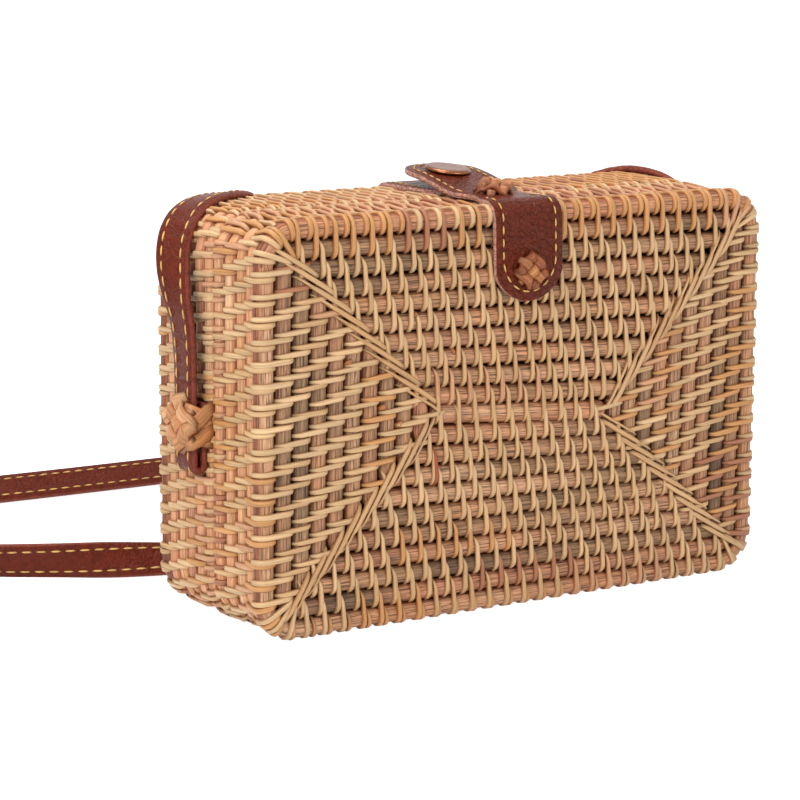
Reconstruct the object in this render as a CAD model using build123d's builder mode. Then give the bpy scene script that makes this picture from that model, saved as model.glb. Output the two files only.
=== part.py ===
"""Rectangular rattan box bag: two woven halves that swing on the bottom seam, a leather closure and a strap.

Millimetres, +Z up, the front face towards -Y, origin on the ground under the middle of the bag.
"""

import os
from math import floor, radians, tan

from build123d import *

os.makedirs("parts", exist_ok=True)

# Woven box, measured over the crowns of its rods
bag_width = 200.0
bag_height = 134.4
rod_rows = 21  # rods over the height of a face, an odd number
depth_pitch = 6.2  # from one rod of the side wall to the next
front_rods = 5
back_rods = 6
corner_radius = 14.0
wall = 6.0
ridge = 2.4  # a rod's crown above the valleys beside it
flank = 1.6  # run of a rod's sloping side
valley = 0.9  # flat between two rods, and the height of a gap
edge_bevel = 2.2  # the rod along the outer edge of a face
rim_bevel = 2.2  # the rod along the rim
seam_gap = 1.6
overrun = 1.0  # how far cuts and joined pieces run past each other

# Gaps between the rods of the two faces
slit_length = 40.0
slit_bar = 12.0  # the least closed length between two gaps

# Cloth lining
lining_thick = 0.7
lining_gap = 0.1
lining_margin = 1.5  # bare rim above the cloth

# Lashings of the bottom hinge
hinge_height = 1.1
hinge_tie_radius = 1.0
hinge_tie_length = 16.0
hinge_tie_x = 55.0

# Leather closure
leather = 2.0
seat_gap = 0.1  # between the leather and the crowns of the rods
tab_width = 29.0
tab_drop = 31.4  # from the top of the bag to the tip of the tab
tab_corner_share = 0.99  # of half the width of the leather
waist_y = -17.0
waist_depth = 4.8
waist_chord = 20.0
flap_pivot_y = -9.0
flap_pivot_gap = 0.3
flap_flat = 3.0  # level stretch beside the pivot
flap_rise_end_y = 3.0
flap_bend = 6.0
flap_width = 27.0
flap_end_y = 27.5
flap_corner_share = 0.99
stud_tab_start_y = -0.8
stud_tab_corner_share = 0.7

# Snap fastener
snap_y = 11.0
snap_post_radius = 1.5
snap_post_gap = 0.05
cap_radius = 7.5
cap_edge = 0.6
cap_height = 1.4
cap_crown_radius = 6.4  # level top of the cap
socket_radius = 5.2
socket_height = 1.0
stud_radius = 5.0
stud_flange = 0.4
stud_knob_radius = 2.3
stud_knob_height = 1.3
snap_gap = 0.3  # between the stud and the socket, which is not pressed home

# Plaited knots
plait_angle = 42.0
plait_strands = 3
side_strand_share = 0.78  # the outer strands of a plait against its middle one
face_knot_drop = 21.4  # from the top of the bag to the middle of a knot on a face
top_knot_y = -17.6
knot_strand = 3.4
knot_pitch = 3.6
knot_length = 13.0
knot_rise = 2.4
knot_lift = 0.8  # the strands on top above those below
strand_top_share = 0.5  # level top of a strand against its length
strap_knot_height = 66.0
strap_knot_band = 16.0
strap_knot_thick = 1.2
strap_knot_gap = 0.1
strap_knot_strand = 4.6
strap_knot_pitch = 4.9
strap_knot_length = 17.0
strap_knot_rise = 2.4

# Shoulder strap
strap_width = 12.5
strap_thick = 2.5
strap_y = 4.8
strap_eye = 1.2  # open space in the folded end
strap_fold_bottom = 48.0
strap_fold_inner_top = 73.0
strap_exit_height = 80.0
strap_tube = 5.6  # side of a square tube of the flat strap's section
fold_round_share = 0.96  # of the largest round that the folded end has room for
bend_share = 0.45  # of a run, taken up by the bend at its end
strap_route = [
    (-105.05, 4.8, 80),
    (-105.05, 4.8, 95),
    (-108.5, 8, 112),
    (-106.5, 14, 128.5),
    (-96.5, 21.5, 139.5),
    (-81, 31.5, 143.5),
    (-67, 42.5, 137),
    (-58, 50.5, 118),
    (-51, 55, 93),
    (-45.5, 57.5, 67),
    (-42.5, 60, 43),
    (-45, 64, 22),
    (-56, 71, 9.5),
    (-74, 81.5, 5.4),
    (-99, 97, 5.2),
    (-131, 114, 5.2),
    (-164, 133, 5.2),
    (-190, 158, 5.2),
    (-194, 191, 5.2),
    (-170, 215, 5.2),
    (-128, 221.5, 5.2),
    (-75, 218.5, 5.2),
    (-6, 214, 5.2),
    (50, 213, 5.2),
    (92, 199, 5.2),
    (112, 166, 5.2),
    (109, 129, 5.2),
    (95, 102, 5.2),
    (77, 83, 6.5),
    (63, 70.5, 17),
    (56, 62.5, 36),
    (55, 59, 61),
    (58, 56, 89),
    (64, 51, 115),
    (73, 42.5, 134.5),
    (86, 31.5, 142.5),
    (98, 21.5, 139),
    (106.5, 14, 128.5),
    (108.5, 8, 112),
    (105.05, 4.8, 95),
    (105.05, 4.8, 80),
]

# Places that follow from the sizes above
coil_pitch = bag_height / rod_rows
coil_rings = rod_rows // 2
core_half = (bag_width - bag_height) / 2
bag_depth = (front_rods + back_rods) * depth_pitch
front_y = -bag_depth / 2
back_y = bag_depth / 2
seam_y = front_y + front_rods * depth_pitch
middle_z = bag_height / 2
top_z = bag_height
front_face = Plane(origin=(0, front_y, middle_z), x_dir=(1, 0, 0), z_dir=(0, 1, 0))
back_face = Plane(origin=(0, back_y, middle_z), x_dir=(1, 0, 0), z_dir=(0, -1, 0))
leather_top = top_z + seat_gap + leather
tab_layer = top_z + seat_gap + leather / 2
socket_z = leather_top + stud_flange + stud_knob_height + snap_gap
flap_z = socket_z + socket_height
fold_inner = seat_gap + strap_thick / 2
fold_outer = fold_inner + strap_thick + strap_eye


def rim_depth(rods):
    """Depth of a half from the crowns of its face to its rim."""
    return rods * depth_pitch - seam_gap / 2


def gap_places(run):
    """Places of the gaps along a valley of that length, about its middle."""
    step = slit_length + slit_bar
    count = max(floor((run - slit_bar) / step), 0)
    return [(i - (count - 1) / 2) * step for i in range(count)]


def rod_section(low):
    """Places across a face, and depths below its crowns, for one rod from valley to valley."""
    foot = low + valley / 2
    far_foot = low + coil_pitch - valley / 2
    return [(foot, ridge), (foot + flank, 0), (far_foot - flank, 0), (far_foot, ridge)]


def coiled_rows(face):
    """The rods that run across a face, above and below its mitres, with the gaps between them."""
    reach = (coil_rings - 1 / 2) * coil_pitch
    edge = reach + overrun
    outline = [(-edge, wall), (-edge, ridge)]
    for row in range(2 * coil_rings - 1):
        outline += rod_section(row * coil_pitch - reach)
    outline += [(edge, ridge), (edge, wall)]
    section = Plane(origin=face.origin, x_dir=face.y_dir, z_dir=face.x_dir)
    with BuildPart() as rows:
        with BuildSketch(section):
            Polygon(*outline, align=None)
        extrude(amount=core_half + edge, both=True)
        with BuildSketch(face):
            Polygon(
                (-core_half, 0),
                (-core_half - edge, -edge),
                (core_half + edge, -edge),
                (core_half, 0),
                (core_half + edge, edge),
                (-core_half - edge, edge),
                align=None,
            )
        extrude(amount=wall, mode=Mode.INTERSECT)
        with BuildSketch(face):
            for ring in range(coil_rings - 1):
                y = (ring + 1 / 2) * coil_pitch
                for x in gap_places(2 * (core_half + y)):
                    with Locations((x, y), (x, -y)):
                        Rectangle(slit_length, valley)
        extrude(amount=wall + overrun, mode=Mode.SUBTRACT)
    return rows.part


def coiled_columns(face):
    """The rods that run up a face, left and right of its mitres, with the gaps between them."""
    edge = (coil_rings - 1 / 2) * coil_pitch + overrun
    outline = [(core_half, wall), (core_half, 0), *rod_section(core_half - coil_pitch / 2)[2:]]
    for ring in range(1, coil_rings):
        outline += rod_section(core_half + (ring - 1 / 2) * coil_pitch)
    outline += [(core_half + edge, ridge), (core_half + edge, wall)]
    section = Plane(origin=face.origin, x_dir=face.x_dir, z_dir=-face.y_dir)
    with BuildPart() as columns:
        with BuildSketch(section):
            Polygon(*outline, align=None)
        extrude(amount=edge, both=True)
        with BuildSketch(face):
            Polygon((core_half, 0), (core_half + edge, -edge), (core_half + edge, edge), align=None)
        extrude(amount=wall, mode=Mode.INTERSECT)
        with BuildSketch(face):
            for ring in range(coil_rings - 1):
                reach = (ring + 1 / 2) * coil_pitch
                for y in gap_places(2 * reach):
                    with Locations((core_half + reach, y)):
                        Rectangle(valley, slit_length)
        extrude(amount=wall + overrun, mode=Mode.SUBTRACT)
        mirror(about=Plane.YZ)
    return columns.part


def woven_half(face, rods):
    """One half of the bag: a mitred coil for its face, and rods stacked up for its side wall."""
    rim = rim_depth(rods)
    outline = [(coil_pitch, wall), (coil_pitch, ridge)]
    outline += rod_section(0)[:1:-1]
    outline += [(edge_bevel, 0), (0, edge_bevel)]
    for rod in range(1, rods):
        foot = rod * depth_pitch
        outline += [(0, foot - flank), (ridge, foot), (0, foot + flank)]
    outline += [(0, rim - rim_bevel), (rim_bevel, rim), (wall, rim), (wall, wall)]
    with BuildLine(face) as perimeter:
        FilletPolyline(
            (-bag_width / 2, -bag_height / 2),
            (bag_width / 2, -bag_height / 2),
            (bag_width / 2, bag_height / 2),
            (-bag_width / 2, bag_height / 2),
            radius=corner_radius,
            close=True,
        )
    path = perimeter.wire()
    along = path % 0
    section = Plane(origin=path @ 0, x_dir=face.z_dir.cross(along), z_dir=along)
    with BuildPart() as half:
        with BuildSketch(section):
            Polygon(*outline, align=None)
        sweep(path=path)
        add(coiled_rows(face))
        add(coiled_columns(face))
    return half.part


def lining(face, rods):
    """Thin cloth glued to the inside of one half."""
    floor_depth = wall + lining_gap
    cloth_depth = rim_depth(rods) - floor_depth - lining_margin
    outer_width = bag_width - 2 * floor_depth
    outer_height = bag_height - 2 * floor_depth
    outer_corner = corner_radius - floor_depth
    with BuildPart() as cloth:
        with BuildSketch(face.offset(floor_depth)):
            RectangleRounded(outer_width, outer_height, outer_corner)
        extrude(amount=cloth_depth)
        with BuildSketch(face.offset(floor_depth + lining_thick)):
            RectangleRounded(
                outer_width - 2 * lining_thick, outer_height - 2 * lining_thick, outer_corner - lining_thick
            )
        extrude(amount=cloth_depth, mode=Mode.SUBTRACT)
    return cloth.part


def waist_cut():
    """Cuts the hollow sides that the leather has where the top knot draws it in."""
    waist_radius = ((waist_chord / 2) ** 2 + waist_depth**2) / (2 * waist_depth)
    centre_x = tab_width / 2 - waist_depth + waist_radius
    with BuildSketch(Plane.XY.offset(top_z)) as hollows:
        with Locations((centre_x, waist_y), (-centre_x, waist_y)):
            Circle(waist_radius)
    extrude(hollows.sketch, amount=flap_z + leather - top_z + overrun, mode=Mode.SUBTRACT)


def plait(base, strand, pitch, length, rise):
    """Adds two layers of crossed strands, each an arched strip, on a base plane that faces outwards."""
    for turn, height in ((plait_angle, rise), (-plait_angle, rise + knot_lift)):
        along = base.x_dir.rotate(Axis((0, 0, 0), base.z_dir), turn)
        across = along.cross(base.z_dir)
        for i in range(plait_strands):
            place = i - (plait_strands - 1) / 2
            reach = length / 2 * (side_strand_share if place else 1)
            side = Plane(origin=base.origin + across * (place * pitch), x_dir=along, z_dir=across)
            with BuildSketch(side) as strip:
                Polygon(
                    (-reach, 0),
                    (reach, 0),
                    (strand_top_share * reach, height),
                    (-strand_top_share * reach, height),
                    align=None,
                )
            extrude(strip.sketch, amount=strand / 2, both=True)


def leather_knot(base):
    """A plaited knot that ties leather to the weave."""
    with BuildPart() as knot:
        plait(base, knot_strand, knot_pitch, knot_length, knot_rise)
    return knot.part


def strap_fold(side):
    """The end of the strap, folded back on itself against the side wall."""
    section = Plane(origin=(side * bag_width / 2, strap_y, 0), x_dir=(side, 0, 0), z_dir=(0, -side, 0))
    with BuildPart() as fold:
        with BuildSketch(section):
            with BuildLine():
                FilletPolyline(
                    (fold_inner, strap_fold_inner_top),
                    (fold_inner, strap_fold_bottom + strap_thick / 2),
                    (fold_outer, strap_fold_bottom + strap_thick / 2),
                    (fold_outer, strap_exit_height),
                    radius=fold_round_share * (fold_outer - fold_inner) / 2,
                )
            trace(line_width=strap_thick)
        extrude(amount=strap_width / 2, both=True)
    return fold.part


def strap_knot(side):
    """The cane band round the folded strap, with the plait on its outside."""
    eye_half = strap_width / 2 + strap_knot_gap
    eye_x = fold_outer + strap_thick / 2 + strap_knot_gap
    band_half = eye_half + strap_knot_thick
    band_x = eye_x + strap_knot_thick
    section = Plane(
        origin=(side * bag_width / 2, strap_y, strap_knot_height), x_dir=(side, 0, 0), z_dir=(0, 0, 1)
    )
    outside = Plane(
        origin=(side * (bag_width / 2 + eye_x), strap_y, strap_knot_height),
        x_dir=(0, 1, 0),
        z_dir=(side, 0, 0),
    )
    with BuildPart() as knot:
        with BuildSketch(section):
            Polygon(
                (seat_gap, -band_half),
                (band_x, -band_half),
                (band_x, band_half),
                (seat_gap, band_half),
                (seat_gap, eye_half),
                (eye_x, eye_half),
                (eye_x, -eye_half),
                (seat_gap, -eye_half),
                align=None,
            )
        extrude(amount=strap_knot_band / 2, both=True)
        plait(outside, strap_knot_strand, strap_knot_pitch, strap_knot_length, strap_knot_rise)
    return knot.part


def upright(y, z):
    """A plane for a turned section, with its height up Z, on an axis through x = 0 at y."""
    return Plane(origin=(0, y, z), x_dir=(1, 0, 0), z_dir=(0, -1, 0))


pieces = {}

# Woven halves and their linings
pieces["front_shell"] = woven_half(front_face, front_rods)
pieces["back_shell"] = woven_half(back_face, back_rods)
pieces["front_lining"] = lining(front_face, front_rods)
pieces["back_lining"] = lining(back_face, back_rods)

# Cane lashings in the bottom seam, on the axis that the front half swings on
for side_name, side in (("left", -1), ("right", 1)):
    with BuildPart() as hinge_tie:
        with BuildSketch(Plane(origin=(side * hinge_tie_x, seam_y, hinge_height), z_dir=(1, 0, 0))):
            Circle(hinge_tie_radius)
        extrude(amount=hinge_tie_length / 2, both=True)
    pieces[f"hinge_tie_{side_name}"] = hinge_tie.part

# Leather tab on the front half, over the top edge and down the front
with BuildPart() as closure_tab:
    with BuildSketch(Plane.YZ):
        with BuildLine():
            FilletPolyline(
                (front_y - seat_gap - leather / 2, top_z - tab_drop),
                (front_y - seat_gap - leather / 2, tab_layer),
                (flap_pivot_y - leather / 2 - flap_pivot_gap, tab_layer),
                radius=edge_bevel + seat_gap + leather / 2,
            )
        trace(line_width=leather)
    extrude(amount=tab_width / 2, both=True)
    fillet(closure_tab.edges().filter_by(Axis.Y).group_by(Axis.Z)[0], tab_corner_share * tab_width / 2)
    waist_cut()
pieces["closure_tab"] = closure_tab.part

# Free end of that leather, which lifts off the snap
with BuildPart() as closure_flap:
    with BuildSketch(Plane.YZ):
        with BuildLine():
            FilletPolyline(
                (flap_pivot_y, tab_layer),
                (flap_pivot_y + flap_flat, tab_layer),
                (flap_rise_end_y, flap_z + leather / 2),
                (flap_end_y, flap_z + leather / 2),
                radius=flap_bend,
            )
        trace(line_width=leather)
        with Locations((flap_pivot_y, tab_layer)):
            Circle(leather / 2)
    extrude(amount=flap_width / 2, both=True)
    fillet(closure_flap.edges().filter_by(Axis.Z).group_by(Axis.Y)[-1], flap_corner_share * flap_width / 2)
    waist_cut()
    with Locations((0, snap_y, flap_z + leather)):
        Hole(snap_post_radius + snap_post_gap)
pieces["closure_flap"] = closure_flap.part

# Leather tab on the back half, under the flap and over the back edge
with BuildPart() as stud_tab:
    with BuildSketch(Plane.YZ):
        with BuildLine():
            FilletPolyline(
                (stud_tab_start_y, tab_layer),
                (back_y + seat_gap + leather / 2, tab_layer),
                (back_y + seat_gap + leather / 2, top_z - tab_drop),
                radius=edge_bevel + seat_gap + leather / 2,
            )
        trace(line_width=leather)
    extrude(amount=tab_width / 2, both=True)
    fillet(stud_tab.edges().filter_by(Axis.Y).group_by(Axis.Z)[0], tab_corner_share * tab_width / 2)
    fillet(stud_tab.edges().filter_by(Axis.Z).group_by(Axis.Y)[0], stud_tab_corner_share * tab_width / 2)
    with Locations((0, snap_y, leather_top)):
        Hole(snap_post_radius + snap_post_gap, depth=leather + seat_gap)
pieces["stud_tab"] = stud_tab.part

# Plaited knots through the leather
knot_z = top_z - face_knot_drop
pieces["front_knot"] = leather_knot(
    Plane(origin=(0, front_y - seat_gap - leather, knot_z), x_dir=(1, 0, 0), z_dir=(0, -1, 0))
)
pieces["back_knot"] = leather_knot(
    Plane(origin=(0, back_y + seat_gap + leather, knot_z), x_dir=(1, 0, 0), z_dir=(0, 1, 0))
)
pieces["top_knot"] = leather_knot(
    Plane(origin=(0, top_knot_y, leather_top), x_dir=(1, 0, 0), z_dir=(0, 0, 1))
)

# Snap: cap and post through the flap, socket under the flap, stud on the tab below
with BuildPart() as snap_cap:
    with BuildSketch(upright(snap_y, flap_z + leather)):
        post_end = -leather - socket_height / 2
        Polygon(
            (0, cap_height),
            (0, post_end),
            (snap_post_radius, post_end),
            (snap_post_radius, 0),
            (cap_radius, 0),
            (cap_radius, cap_edge),
            (cap_crown_radius, cap_height),
            align=None,
        )
    revolve(axis=Axis((0, snap_y, 0), (0, 0, 1)))
pieces["snap_cap"] = snap_cap.part

with BuildPart() as snap_socket:
    with BuildSketch(Plane.XY.offset(socket_z)):
        with Locations((0, snap_y)):
            Circle(socket_radius)
            Circle(snap_post_radius + snap_post_gap, mode=Mode.SUBTRACT)
    extrude(amount=socket_height)
pieces["snap_socket"] = snap_socket.part

with BuildPart() as snap_stud:
    with BuildSketch(upright(snap_y, leather_top)):
        stud_top = stud_flange + stud_knob_height
        Polygon(
            (0, -leather),
            (snap_post_radius, -leather),
            (snap_post_radius, 0),
            (stud_radius, 0),
            (stud_radius, stud_flange),
            (stud_knob_radius, stud_flange),
            (stud_knob_radius, stud_top),
            (0, stud_top),
            align=None,
        )
    revolve(axis=Axis((0, snap_y, 0), (0, 0, 1)))
pieces["snap_stud"] = snap_stud.part

# Folded ends of the strap and the knots that hold them
for side_name, side in (("left", -1), ("right", 1)):
    pieces[f"strap_fold_{side_name}"] = strap_fold(side)
    pieces[f"strap_knot_{side_name}"] = strap_knot(side)

# Free length of the strap, as a plain tube of its section
runs = [Vector(end) - Vector(start) for start, end in zip(strap_route, strap_route[1:])]
strap_bends = [
    bend_share * min(before.length, after.length) / tan(radians(before.get_angle(after) / 2))
    for before, after in zip(runs, runs[1:])
]
with BuildPart() as shoulder_strap:
    with BuildLine() as strap_line:
        FilletPolyline(*strap_route, radius=strap_bends)
    with BuildSketch(Plane(origin=strap_line.line @ 0, z_dir=strap_line.line % 0)):
        Rectangle(strap_tube, strap_tube)
    sweep(path=strap_line.wire())
pieces["shoulder_strap"] = shoulder_strap.part
print("strap length", round(strap_line.wire().length, 1), "bends", [round(bend) for bend in strap_bends])

for name, piece in pieces.items():
    piece.label = name
    export_step(piece, f"parts/{name}.step")
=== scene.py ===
"""Rattan box bag at rest: woven halves, leather closure, cane knots and shoulder strap, in metres."""

from math import cos, pi, radians, sin, tau

import bpy
import numpy as np
from mathutils import Matrix, Vector


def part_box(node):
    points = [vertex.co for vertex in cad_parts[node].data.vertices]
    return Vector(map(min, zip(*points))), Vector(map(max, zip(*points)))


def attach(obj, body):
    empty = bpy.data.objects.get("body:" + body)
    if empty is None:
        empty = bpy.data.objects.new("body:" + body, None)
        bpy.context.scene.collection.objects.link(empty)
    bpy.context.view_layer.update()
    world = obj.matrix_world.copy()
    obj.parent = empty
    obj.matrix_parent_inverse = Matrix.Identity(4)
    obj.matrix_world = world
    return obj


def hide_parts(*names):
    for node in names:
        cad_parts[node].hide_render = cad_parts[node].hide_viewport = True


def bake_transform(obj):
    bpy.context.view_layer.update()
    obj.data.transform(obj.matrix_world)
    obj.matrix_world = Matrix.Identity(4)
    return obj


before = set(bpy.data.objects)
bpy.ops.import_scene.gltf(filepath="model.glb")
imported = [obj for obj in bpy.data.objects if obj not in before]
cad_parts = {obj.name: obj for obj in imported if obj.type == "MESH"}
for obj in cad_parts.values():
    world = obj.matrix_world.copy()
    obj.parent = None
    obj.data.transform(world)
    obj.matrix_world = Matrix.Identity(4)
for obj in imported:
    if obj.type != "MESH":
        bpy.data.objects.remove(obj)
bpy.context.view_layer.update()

# Rattan rods of the two halves
# Each half is one round rattan rod, coiled round a short middle rod into a flat face with mitred corners and
# then stacked up for the side wall. The rods are oiled but not bleached, so tan stretches turn grey-brown.
front_low, front_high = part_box("front_shell")
_, back_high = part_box("back_shell")
half_width = front_high.x
bag_height = front_high.z
middle_z = bag_height / 2
coil_rings = 10
coil_pitch = bag_height / (2 * coil_rings + 1)
core_half = half_width - middle_z
rod_depth = coil_pitch / 2
rod_radius = 0.00302
rod_sides = 14
rod_step = 0.0035
rod_wander = 0.0001
rod_swell = 0.012
wander_points, swell_points = 6, 5
wall_pitch = 0.0062
corner_radius = 0.014
least_bend = 0.0012
core_half_height = 0.0004
core_drop_left = -0.0006
core_drop_right = 0.0044
ring_marks = np.array([0, 1, 3, 5, 7, 8, 10])
ring_grey = np.array([0.1, 0.25, 0.5, 0.45, 0.7, 0.55, 0.05])
wall_grey = -0.2
draw = np.random.default_rng(11)

halves = {
    "front": {"body": "front_half", "node": "front_shell", "face_y": front_low.y, "turn": 1, "rods": 5},
    "back": {"body": "back_half", "node": "back_shell", "face_y": back_high.y, "turn": -1, "rods": 6},
}
front_lean = np.array([0.0, 0.0012, 0.0012, 0.0006, 0.0002])


def linear(red, green, blue):
    """A display colour of 0 to 255 as the linear colour that shaders take."""
    shown = np.array([red, green, blue]) / 255
    return np.where(shown <= 0.04045, shown / 12.92, ((shown + 0.055) / 1.055) ** 2.4)


def placed(half, x, z, depth):
    """Points of a half, across its face and behind it. The back half is the front one turned about Z."""
    x, z, depth = np.broadcast_arrays(x, z, depth)
    return np.stack([half["turn"] * x, half["face_y"] + half["turn"] * depth, z], axis=-1)


def turned(half, x, z, depth):
    """Directions of a half, given as its points are."""
    return placed(half, x, z, depth) - placed(half, 0, 0, 0)


def rounded_loop(half_x, half_z, radius, step):
    """Points and inward normals round a rectangle with round corners, clockwise from the top left one."""
    places, normals = [], []
    turns = np.linspace(0, pi / 2, max(int(radius * pi / 2 / step), 3) + 1)
    for start, side_x, side_z, run in (
        (pi, -1, 1, 2 * (half_x - radius)),
        (pi / 2, 1, 1, 2 * (half_z - radius)),
        (0, 1, -1, 2 * (half_x - radius)),
        (-pi / 2, -1, -1, 2 * (half_z - radius)),
    ):
        outward = np.stack([np.cos(start - turns), np.sin(start - turns)], axis=1)
        centre = np.array([side_x * (half_x - radius), side_z * (half_z - radius)])
        places.append(centre + radius * outward)
        normals.append(-outward)
        ahead = np.array([outward[-1][1], -outward[-1][0]])
        count = max(int(run / step), 1)
        along = np.linspace(0, run, count + 1)[1:-1, None]
        places.append(places[-1][-1] + along * ahead)
        normals.append(np.repeat(-outward[-1:], len(along), axis=0))
    return np.concatenate(places), np.concatenate(normals)


class Bundle:
    """Strands gathered into one mesh, each skinned over its cross-sections, with its colours and grain."""

    def __init__(self):
        self.points, self.tones, self.faces, self.grain = [], [], [], []
        self.count = 0

    def strand(self, sections, tones, along, loop=False):
        """Skins sections of shape (n, m, 3), with their colours and the distance along the strand."""
        n, m = sections.shape[:2]
        tones = np.broadcast_to(tones, (n, m, 3))
        index = self.count + np.arange(n * m).reshape(n, m)
        after = np.roll(index, -1, axis=1)
        if loop:
            ends, end_along = np.roll(index, -1, axis=0), np.append(along[1:], 2 * along[-1] - along[-2])
            ends_after = np.roll(ends, -1, axis=1)
            quads = np.stack([index, after, ends_after, ends], axis=-1).reshape(-1, 4)
            begin, finish = along, end_along
        else:
            quads = np.stack([index[:-1], after[:-1], after[1:], index[1:]], axis=-1).reshape(-1, 4)
            begin, finish = along[:-1], along[1:]
        round_low = np.arange(m) / m
        round_high = round_low + 1 / m
        rows = len(begin)
        low, high = np.tile(round_low, rows), np.tile(round_high, rows)
        first, last = np.repeat(begin, m), np.repeat(finish, m)
        marks = np.stack([first, low, first, high, last, high, last, low], axis=-1)
        self.faces += quads.tolist()
        self.grain.append(marks.reshape(-1, 2))
        if not loop:
            self.faces += [index[0, ::-1].tolist(), index[-1].tolist()]
            self.grain.append(np.repeat([[along[0], 0.5], [along[-1], 0.5]], m, axis=0))
        self.points.append(sections.reshape(-1, 3))
        self.tones.append(tones.reshape(-1, 3))
        self.count += n * m

    def piece(self, name, material, slot):
        """The mesh object of the whole bundle."""
        mesh = bpy.data.meshes.new(name)
        mesh.from_pydata(np.concatenate(self.points).tolist(), [], self.faces)
        mesh.polygons.foreach_set("use_smooth", [True] * len(mesh.polygons))
        tone = mesh.color_attributes.new("tone", "FLOAT_COLOR", "POINT")
        colours = np.concatenate(self.tones)
        tone.data.foreach_set("color", np.column_stack([colours, np.ones(len(colours))]).ravel())
        mesh.uv_layers.new(name="grain").data.foreach_set("uv", np.concatenate(self.grain).ravel())
        mesh.materials.append(material)
        made = bpy.data.objects.new(name, mesh)
        bpy.context.scene.collection.objects.link(made)
        return made


def unit(vectors):
    """Vectors scaled to a length of one."""
    return vectors / np.maximum(np.linalg.norm(vectors, axis=-1, keepdims=True), 1e-12)


def travelled(points):
    """Distance along a line of points, at each of them."""
    return np.concatenate([[0], np.cumsum(np.linalg.norm(np.diff(points, axis=0), axis=1))])


def drift(count, spacing, spread):
    """A slow random change along a strand of so many points."""
    knots = draw.normal(0, spread, max(count // spacing, 1) + 2)
    return np.interp(np.linspace(0, len(knots) - 1, count), np.arange(len(knots)), knots)


def new_material(name):
    """A material, its node tree and its shader."""
    material = bpy.data.materials.new(name)
    material.use_nodes = True
    tree = material.node_tree
    return material, tree, tree.nodes["Principled BSDF"]


def add_node(tree, kind, links=None, **settings):
    """One node, its settings, and what is joined or set at its inputs."""
    node = tree.nodes.new(kind)
    for name, value in settings.items():
        setattr(node, name, value)
    for name, value in (links or {}).items():
        socket = node.inputs[name]
        if isinstance(value, bpy.types.NodeSocket):
            tree.links.new(value, socket)
        else:
            socket.default_value = value
    return node


def calc(tree, operation, first, second):
    """The result of a Math node on two numbers or sockets."""
    return add_node(tree, "ShaderNodeMath", {0: first, 1: second}, operation=operation).outputs[0]


def remap(tree, value, low, high, start=0.0, stop=1.0):
    """A socket's values from start to stop, moved to the range from low to high."""
    ends = {"From Min": start, "From Max": stop, "To Min": low, "To Max": high}
    return add_node(tree, "ShaderNodeMapRange", {"Value": value, **ends}).outputs["Result"]


# Fibres of rattan and cane: streaks and dark hairlines along the strand, read from its grain map
fibre = bpy.data.node_groups.new("fibre", "ShaderNodeTree")
for socket in ("Lengthwise", "Around", "Contrast", "Hairlines"):
    fibre.interface.new_socket(socket, in_out="INPUT", socket_type="NodeSocketFloat")
fibre.interface.new_socket("Streak", in_out="OUTPUT", socket_type="NodeSocketFloat")
fibre.interface.new_socket("Shade", in_out="OUTPUT", socket_type="NodeSocketFloat")
fibre_in = fibre.nodes.new("NodeGroupInput")
fibre_out = fibre.nodes.new("NodeGroupOutput")
grain_map = add_node(fibre, "ShaderNodeUVMap", uv_map="grain")
grain_scale = add_node(
    fibre, "ShaderNodeCombineXYZ", {"X": fibre_in.outputs["Lengthwise"], "Y": fibre_in.outputs["Around"]}
)
grain_place = add_node(
    fibre,
    "ShaderNodeVectorMath",
    {0: grain_map.outputs["UV"], 1: grain_scale.outputs[0]},
    operation="MULTIPLY",
)
grain_noise = add_node(
    fibre,
    "ShaderNodeTexNoise",
    {"Vector": grain_place.outputs[0], "Scale": 1.0, "Detail": 4.0, "Roughness": 0.65},
)
streak = remap(fibre, grain_noise.outputs["Fac"], 0.0, 1.0, start=0.34, stop=0.64)
shade_depth = calc(fibre, "SUBTRACT", 1.0, fibre_in.outputs["Contrast"])
shade = remap(fibre, streak, shade_depth, 1.15)
hair_place = add_node(
    fibre, "ShaderNodeVectorMath", {0: grain_place.outputs[0], 1: (0.8, 1.5, 1.0)}, operation="MULTIPLY"
)
hair_noise = add_node(
    fibre, "ShaderNodeTexNoise", {"Vector": hair_place.outputs[0], "Scale": 1.0, "Detail": 2.0}
)
hairline = remap(fibre, hair_noise.outputs["Fac"], 0.0, 1.0, start=0.53, stop=0.61)
hair_depth = calc(fibre, "MULTIPLY", hairline, fibre_in.outputs["Hairlines"])
hair_left = calc(fibre, "SUBTRACT", 1.0, hair_depth)
fibre.links.new(calc(fibre, "MULTIPLY", shade, hair_left), fibre_out.inputs["Shade"])
fibre.links.new(calc(fibre, "MULTIPLY", streak, hair_left), fibre_out.inputs["Streak"])


def fibrous(name, lengthwise, around, contrast, hairlines, bump, roughness):
    """A rattan or cane finish: the strand's own tone, darkened along its fibres."""
    material, tree, shader = new_material(name)
    tone = add_node(tree, "ShaderNodeVertexColor", layer_name="tone")
    group = add_node(tree, "ShaderNodeGroup", node_tree=fibre)
    values = {"Lengthwise": lengthwise, "Around": around, "Contrast": contrast, "Hairlines": hairlines}
    for socket, value in values.items():
        group.inputs[socket].default_value = value
    shaded = add_node(tree, "ShaderNodeVectorMath", {0: tone.outputs["Color"]}, operation="SCALE")
    tree.links.new(group.outputs["Shade"], shaded.inputs["Scale"])
    tree.links.new(shaded.outputs[0], shader.inputs["Base Color"])
    rough = remap(tree, group.outputs["Streak"], roughness + 0.12, roughness - 0.06)
    tree.links.new(rough, shader.inputs["Roughness"])
    raised = add_node(
        tree, "ShaderNodeBump", {"Height": group.outputs["Streak"], "Strength": bump, "Distance": 0.0002}
    )
    tree.links.new(raised.outputs["Normal"], shader.inputs["Normal"])
    shader.inputs["Specular IOR Level"].default_value = 0.4
    return material


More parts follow.
